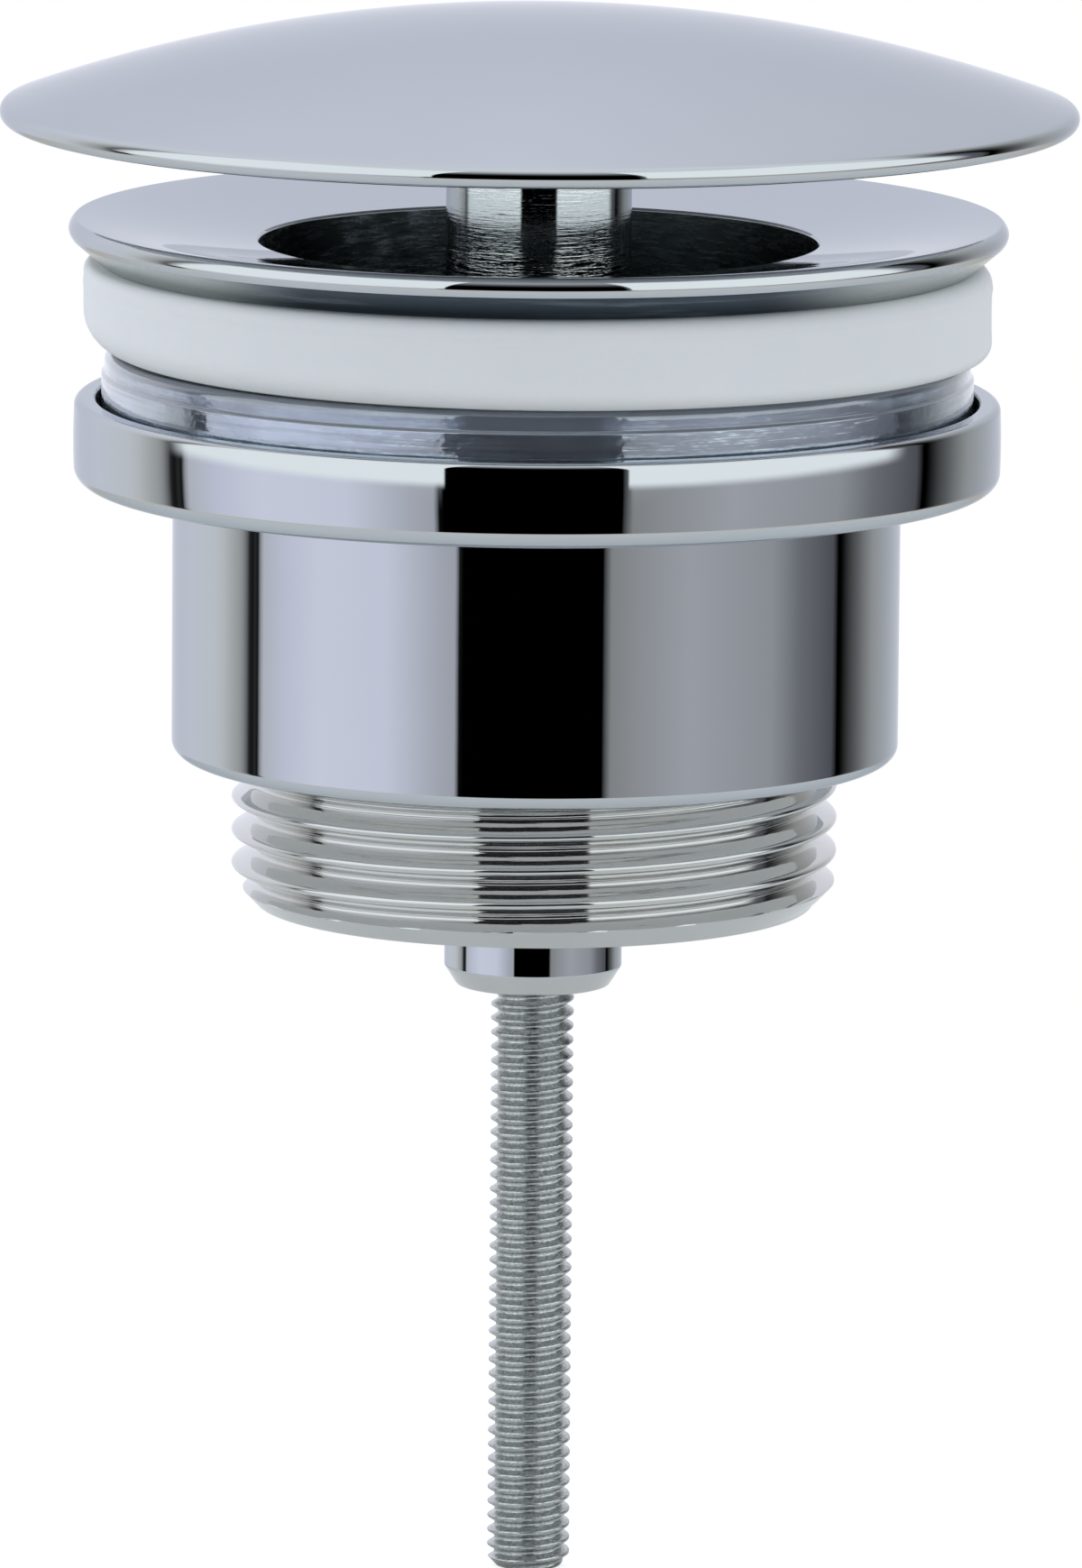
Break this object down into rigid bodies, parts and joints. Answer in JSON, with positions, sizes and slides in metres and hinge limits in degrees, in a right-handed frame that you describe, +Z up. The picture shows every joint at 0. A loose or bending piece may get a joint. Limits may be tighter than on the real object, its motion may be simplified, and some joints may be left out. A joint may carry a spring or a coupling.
{
  "type": "free-flow basin waste",
  "caption": "Chromed free-flow basin waste: fixed dome on a stem, dished flange, foam and clear seals, cup-and-barrel body with pipe-thread tail, long threaded clamping rod.",
  "frame": {"origin": "on the axis, on the face of the clear lower washer that seals against the underside of the basin", "axes": "+Z up along the axis, out of the basin through the cap; the picture looks along +Y with +X to the right"},
  "size_m": [0.0736, 0.0736, 0.1082],
  "materials": {
    "polished_chrome": "bright chrome plating on brass",
    "turned_chrome": "chrome plating over fine turning marks",
    "zinc_steel": "dull zinc plating",
    "nylon": "natural, satin",
    "white_foam": "soft white closed-cell foam",
    "clear_vinyl": "clear, glossy, moulded"
  },
  "bodies": {
    "lower_body": {"waste_body": "polished_chrome", "bottom_washer": "clear_vinyl"},
    "upper_flange": {"top_flange": "polished_chrome", "top_gasket": "white_foam", "slip_washer": "nylon"},
    "cap_and_rod": {"dome_cap": "polished_chrome", "cap_stem": "turned_chrome", "threaded_rod": "zinc_steel"}
  },
  "joints": [
    {"name": "clamp_travel", "type": "slide", "parent": "lower_body", "child": "upper_flange", "axis": [0, 0, 1], "range_m": [0, 0.04]},
    {"name": "cap_turn", "type": "hinge", "parent": "upper_flange", "child": "cap_and_rod", "pos_m": [0, 0, 0], "axis": [0, 0, 1], "range_deg": [0, 14400]}
  ],
  "couplings": [
    {"joint": "clamp_travel", "follows": "cap_turn", "m_per_rad": 0.00015915}
  ]
}
